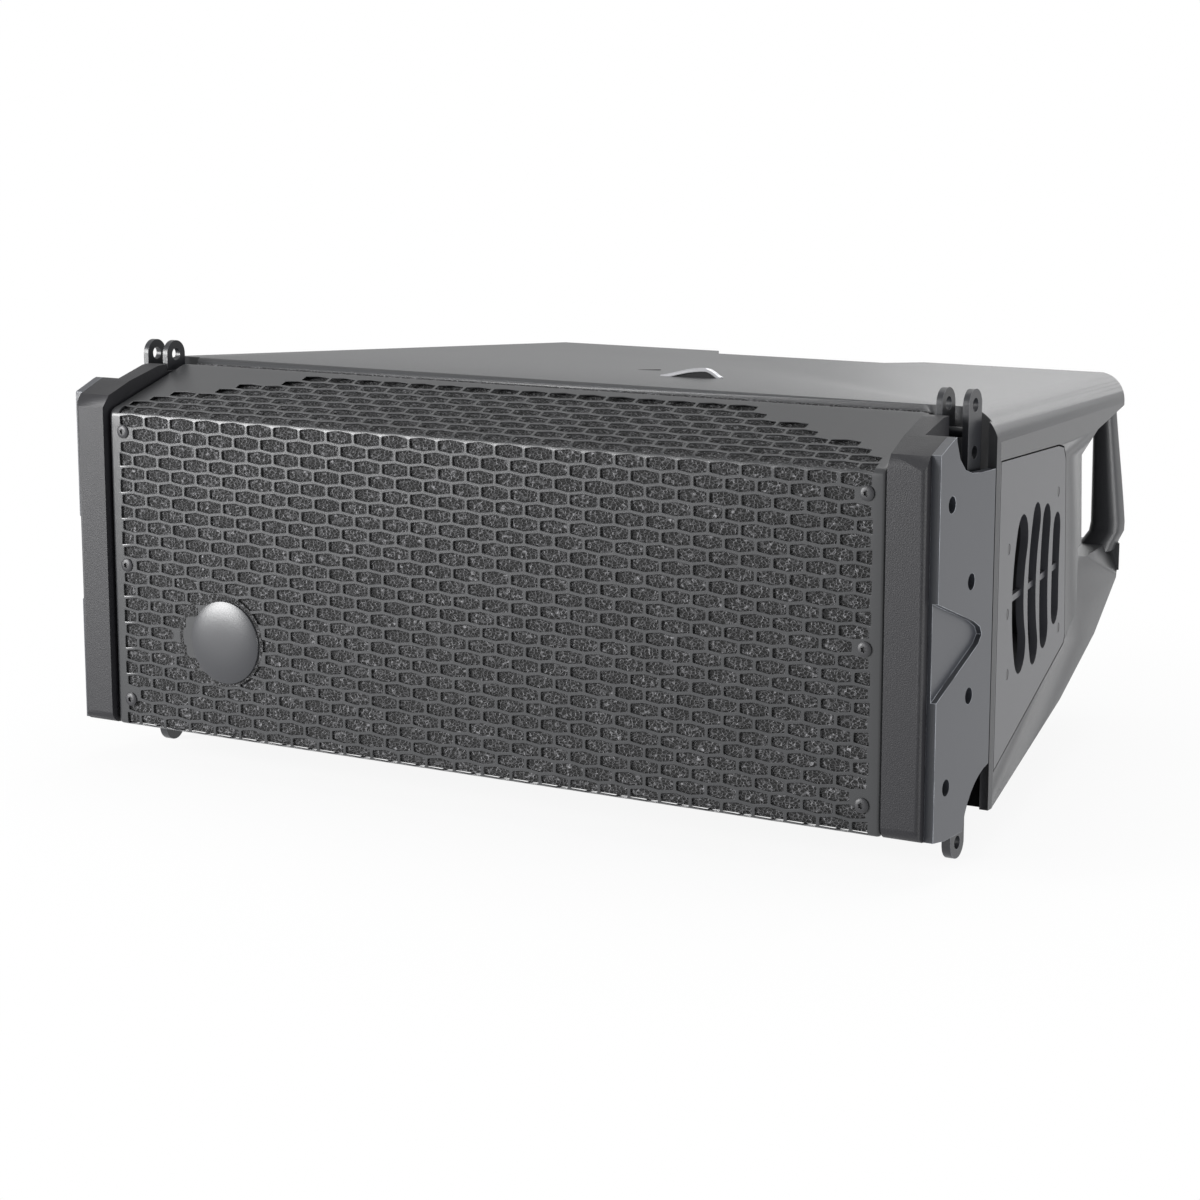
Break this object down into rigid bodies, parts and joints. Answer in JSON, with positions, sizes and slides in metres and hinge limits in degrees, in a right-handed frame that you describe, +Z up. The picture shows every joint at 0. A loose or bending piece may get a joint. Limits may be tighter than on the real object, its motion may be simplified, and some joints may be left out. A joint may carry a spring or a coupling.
{
  "type": "line array speaker",
  "caption": "Compact powered line-array element: perforated front, side vents, corner handles, sliding front rigging links and a rear splay arm",
  "frame": {"origin": "under the middle of the object, at the height of the lowest lug", "axes": "+X to the right seen from the front, +Y from the grille to the rear, +Z up"},
  "size_m": [0.64, 0.494, 0.2845],
  "materials": {
    "shell_plastic": "fine spark-textured charcoal moulding with a soft sheen",
    "frame_plastic": "dark fine-grained moulded end casting",
    "plate_steel": "satin blue-grey painted steel with bright worn bevels",
    "grille_steel": "dark grey powder-coated perforated steel",
    "foam": "open-cell black acoustic foam",
    "screw_steel": "black oxide screw steel",
    "badge_plastic": "bare dark domed disc, no mark",
    "rigging_steel": "black satin painted steel",
    "vent_plastic": "charcoal moulded vent panel",
    "inner_black": "black moulded duct",
    "basket_metal": "black painted pressed steel",
    "magnet_iron": "dark magnet assembly",
    "cone_paper": "coated black paper cone",
    "surround_rubber": "matt rubber half roll",
    "spider_cloth": "treated tan cloth",
    "coil_copper": "copper winding",
    "driver_metal": "dark cast driver housing",
    "diaphragm_metal": "thin bright dome",
    "wood_board": "dark painted plywood",
    "lining_felt": "grey damping felt",
    "panel_steel": "black powder-coated panel",
    "heatsink_alloy": "black anodised fins",
    "board_green": "green circuit board",
    "board_blue": "blue circuit board",
    "supply_parts": "wound parts and capacitors",
    "mains_blue": "blue locking power inlet",
    "mains_grey": "light grey locking power outlet",
    "socket_black": "black signal socket",
    "latch_steel": "bright latch tab",
    "knob_plastic": "black knob with a slot",
    "button_grey": "grey push button",
    "switch_black": "black rocker",
    "led_lens": "small green lens",
    "pin_steel": "bright steel pin"
  },
  "bodies": {
    "cabinet": {"cabinet_shell": "shell_plastic", "front_collar": "inner_black", "front_baffle": "wood_board", "grille": "grille_steel", "grille_foam": "foam", "grille_screws": "screw_steel", "badge": "badge_plastic", "left_side_frame": "frame_plastic", "right_side_frame": "frame_plastic", "left_rigging_plate": "plate_steel", "right_rigging_plate": "plate_steel", "left_lug_bar": "rigging_steel", "right_lug_bar": "rigging_steel", "left_vent_panel": "vent_plastic", "right_vent_panel": "vent_plastic", "vent_screws": "screw_steel", "left_port_duct": "inner_black", "right_port_duct": "inner_black", "left_handle_grip": "shell_plastic", "right_handle_grip": "shell_plastic", "woofer_screws": "screw_steel", "waveguide": "inner_black", "compression_driver": "driver_metal", "internal_brace": "wood_board", "acoustic_lining": "lining_felt", "amp_panel": "panel_steel", "amp_heatsink": "heatsink_alloy", "amp_board": "board_green", "dsp_board": "board_blue", "power_supply": "supply_parts", "mains_inlet": "mains_blue", "mains_link": "mains_grey", "xlr_input": "socket_black", "xlr_output": "socket_black", "status_leds": "led_lens", "panel_screws": "screw_steel", "rear_channel": "rigging_steel", "arm_pivot_pin": "pin_steel", "left_woofer_basket": "basket_metal", "left_woofer_magnet": "magnet_iron", "right_woofer_basket": "basket_metal", "right_woofer_magnet": "magnet_iron"},
    "left_link": {"left_front_link": "rigging_steel"},
    "right_link": {"right_front_link": "rigging_steel"},
    "rear_arm": {"splay_arm": "pin_steel"},
    "spare_pin": {"lock_pin": "pin_steel"},
    "left_woofer_motion": {"left_woofer_cone": "cone_paper", "left_woofer_surround": "surround_rubber", "left_woofer_spider": "spider_cloth", "left_voice_coil": "coil_copper"},
    "right_woofer_motion": {"right_woofer_cone": "cone_paper", "right_woofer_surround": "surround_rubber", "right_woofer_spider": "spider_cloth", "right_voice_coil": "coil_copper"},
    "hf_dome": {"hf_diaphragm": "diaphragm_metal"},
    "knob": {"level_knob": "knob_plastic"},
    "button": {"preset_button": "button_grey"},
    "latch": {"xlr_latch": "latch_steel"},
    "rocker": {"power_switch": "switch_black"}
  },
  "joints": [
    {"name": "right_link_slide", "type": "slide", "parent": "cabinet", "child": "right_link", "axis": [0, 0, 1], "range_m": [-0.028, 0]},
    {"name": "right_woofer_travel", "type": "slide", "parent": "cabinet", "child": "right_woofer_motion", "axis": [0, 1, 0], "range_m": [-0.005, 0.005], "stiffness_N_per_m": 2000},
    {"name": "left_link_slide", "type": "slide", "parent": "cabinet", "child": "left_link", "axis": [0, 0, 1], "range_m": [-0.028, 0]},
    {"name": "left_woofer_travel", "type": "slide", "parent": "cabinet", "child": "left_woofer_motion", "axis": [0, 1, 0], "range_m": [-0.005, 0.005], "stiffness_N_per_m": 2000},
    {"name": "hf_travel", "type": "slide", "parent": "cabinet", "child": "hf_dome", "axis": [0, 1, 0], "range_m": [-0.0003, 0.0003], "stiffness_N_per_m": 800},
    {"name": "rear_arm_swing", "type": "hinge", "parent": "cabinet", "child": "rear_arm", "pos_m": [0, 0.232, 0.2355], "axis": [1, 0, 0], "range_deg": [0, 180]},
    {"name": "spare_pin_pull", "type": "slide", "parent": "cabinet", "child": "spare_pin", "axis": [1, 0, 0], "range_m": [0, 0.04]},
    {"name": "level_turn", "type": "hinge", "parent": "cabinet", "child": "knob", "pos_m": [-0.042, 0.216, 0.1875], "axis": [0, 1, 0], "range_deg": [-150, 150]},
    {"name": "preset_press", "type": "slide", "parent": "cabinet", "child": "button", "axis": [0, -1, 0], "range_m": [0, 0.0015], "stiffness_N_per_m": 300},
    {"name": "latch_press", "type": "slide", "parent": "cabinet", "child": "latch", "axis": [0, -1, 0], "range_m": [0, 0.0015], "stiffness_N_per_m": 300},
    {"name": "power_rock", "type": "hinge", "parent": "cabinet", "child": "rocker", "pos_m": [0.042, 0.215, 0.1935], "axis": [1, 0, 0], "range_deg": [-20, 0]}
  ]
}
